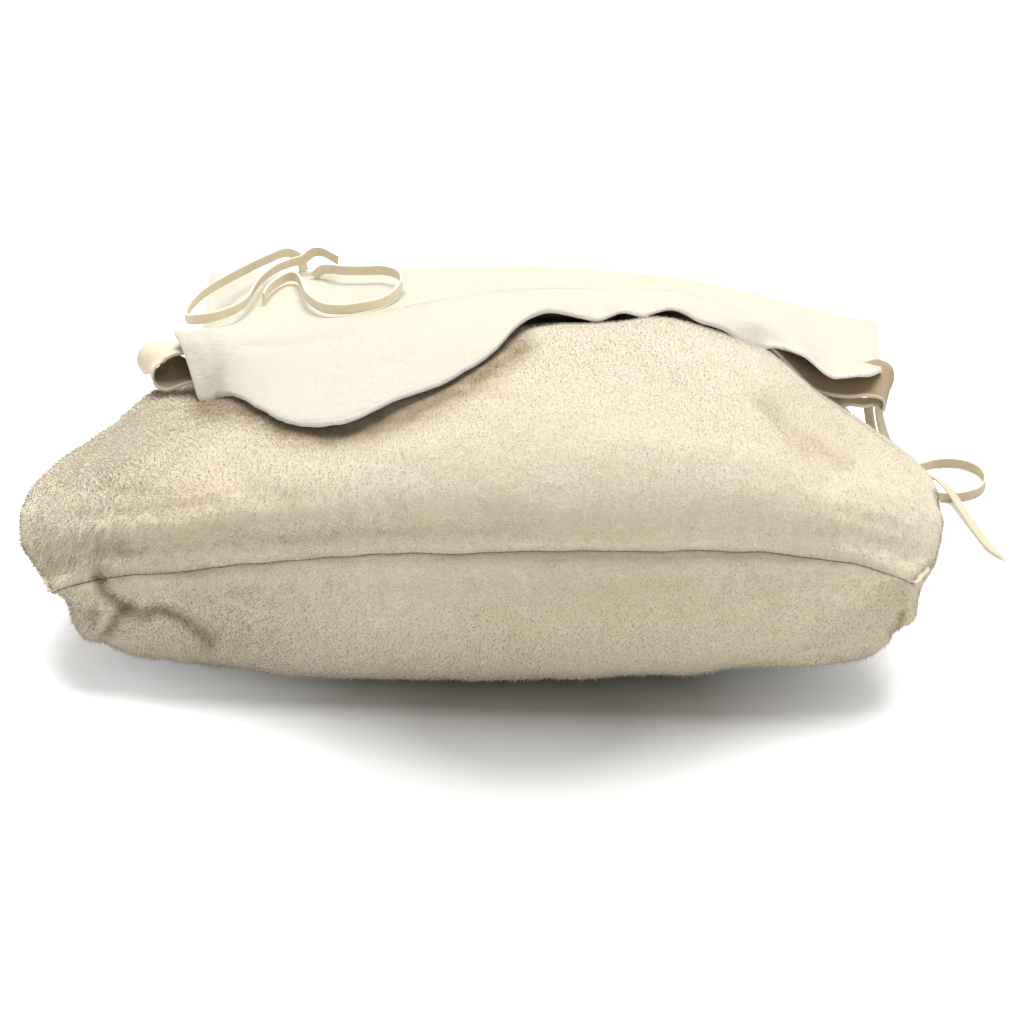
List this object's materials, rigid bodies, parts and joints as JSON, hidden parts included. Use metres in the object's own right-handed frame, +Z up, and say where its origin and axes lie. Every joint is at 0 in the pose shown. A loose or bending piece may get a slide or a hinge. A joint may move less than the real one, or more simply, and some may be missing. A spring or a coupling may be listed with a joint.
{
  "type": "deerskin shoulder bag",
  "caption": "Soft deerskin shoulder bag, stuffed and lying on its back, with a raw-edged flap over its mouth, a strap folded under the flap and lace ties at both ends",
  "frame": {"origin": "on the floor under the middle of the bag", "axes": "+X to the right end, +Y from the bottom to the mouth, +Z up from the floor"},
  "size_m": [0.4656, 0.3474, 0.1425],
  "materials": {
    "body_suede": "fuzzy buckskin suede, nap up",
    "flap_suede": "smooth fine suede, pale cream",
    "strap_leather": "tan leather, dull"
  },
  "bodies": {
    "root": {"front_panel": "body_suede", "back_panel": "body_suede", "flap": "flap_suede", "shoulder_strap": "strap_leather", "left_lace": "flap_suede", "left_lace_end": "flap_suede", "right_lace": "flap_suede", "right_lace_end": "flap_suede"}
  },
  "joints": []
}
